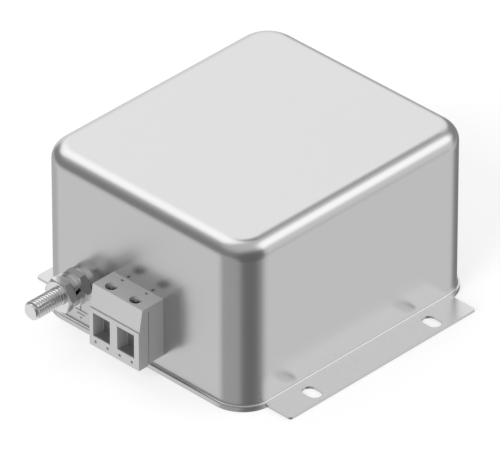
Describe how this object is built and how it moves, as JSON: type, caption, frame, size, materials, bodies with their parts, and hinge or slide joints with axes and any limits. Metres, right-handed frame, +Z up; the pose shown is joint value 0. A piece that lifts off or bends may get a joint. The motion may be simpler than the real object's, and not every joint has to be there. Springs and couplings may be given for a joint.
{
  "type": "emi line filter",
  "caption": "Single-phase mains interference filter in a drawn steel can on a slotted base plate, with screw terminal blocks and an earth stud.",
  "frame": {"origin": "middle of the base plate's underside, on the mounting surface", "axes": "+Z up out of the mounting surface, -Y out of the wall with the line terminals and the earth stud, X along that wall, towards the two slotted flanges"},
  "size_m": [0.1054, 0.1286, 0.057],
  "materials": {
    "case_steel": "satin tin-plated deep-drawn sheet",
    "plate_steel": "satin tin-plated sheet",
    "bright_zinc": "bright zinc plating",
    "spring_steel": "zinc-plated spring steel",
    "strap_copper": "bare copper strip",
    "terminal_plastic": "light grey moulded polyamide",
    "clamp_metal": "nickel-plated brass",
    "clamp_screw_metal": "zinc-plated steel, crossed recess",
    "board_laminate": "solder mask over glass-fibre laminate",
    "spacer_metal": "turned brass",
    "insulating_film": "smooth polyester film",
    "core_coating": "ferrite under a dark epoxy coat",
    "enamelled_wire": "enamelled copper wire",
    "white_plastic": "moulded nylon",
    "capacitor_box": "plastic box, resin filled",
    "disc_coating": "epoxy-dipped disc",
    "resistor_body": "cement lacquer"
  },
  "bodies": {
    "root": {"can_cover": "case_steel", "base_plate": "plate_steel", "earth_stud": "bright_zinc", "stud_wall_washer": "bright_zinc", "stud_inner_nut": "bright_zinc", "stud_flat_washer": "bright_zinc", "stud_spring_washer": "spring_steel", "stud_outer_nut": "bright_zinc", "earth_strap": "strap_copper", "line_terminal_body": "terminal_plastic", "line_clamp_left": "clamp_metal", "line_clamp_right": "clamp_metal", "line_clamp_screws": "clamp_screw_metal", "load_terminal_body": "terminal_plastic", "load_clamp_left": "clamp_metal", "load_clamp_right": "clamp_metal", "load_clamp_screws": "clamp_screw_metal", "circuit_board": "board_laminate", "board_spacers": "spacer_metal", "board_screws": "bright_zinc", "insulating_sheet": "insulating_film", "choke_core": "core_coating", "choke_winding_line": "enamelled_wire", "choke_winding_neutral": "enamelled_wire", "choke_divider": "white_plastic", "choke_holder": "white_plastic", "x_capacitor_line": "capacitor_box", "x_capacitor_load": "capacitor_box", "y_capacitor_line_l": "disc_coating", "y_capacitor_line_n": "disc_coating", "y_capacitor_load_l": "disc_coating", "y_capacitor_load_n": "disc_coating", "discharge_resistor": "resistor_body"}
  },
  "joints": []
}
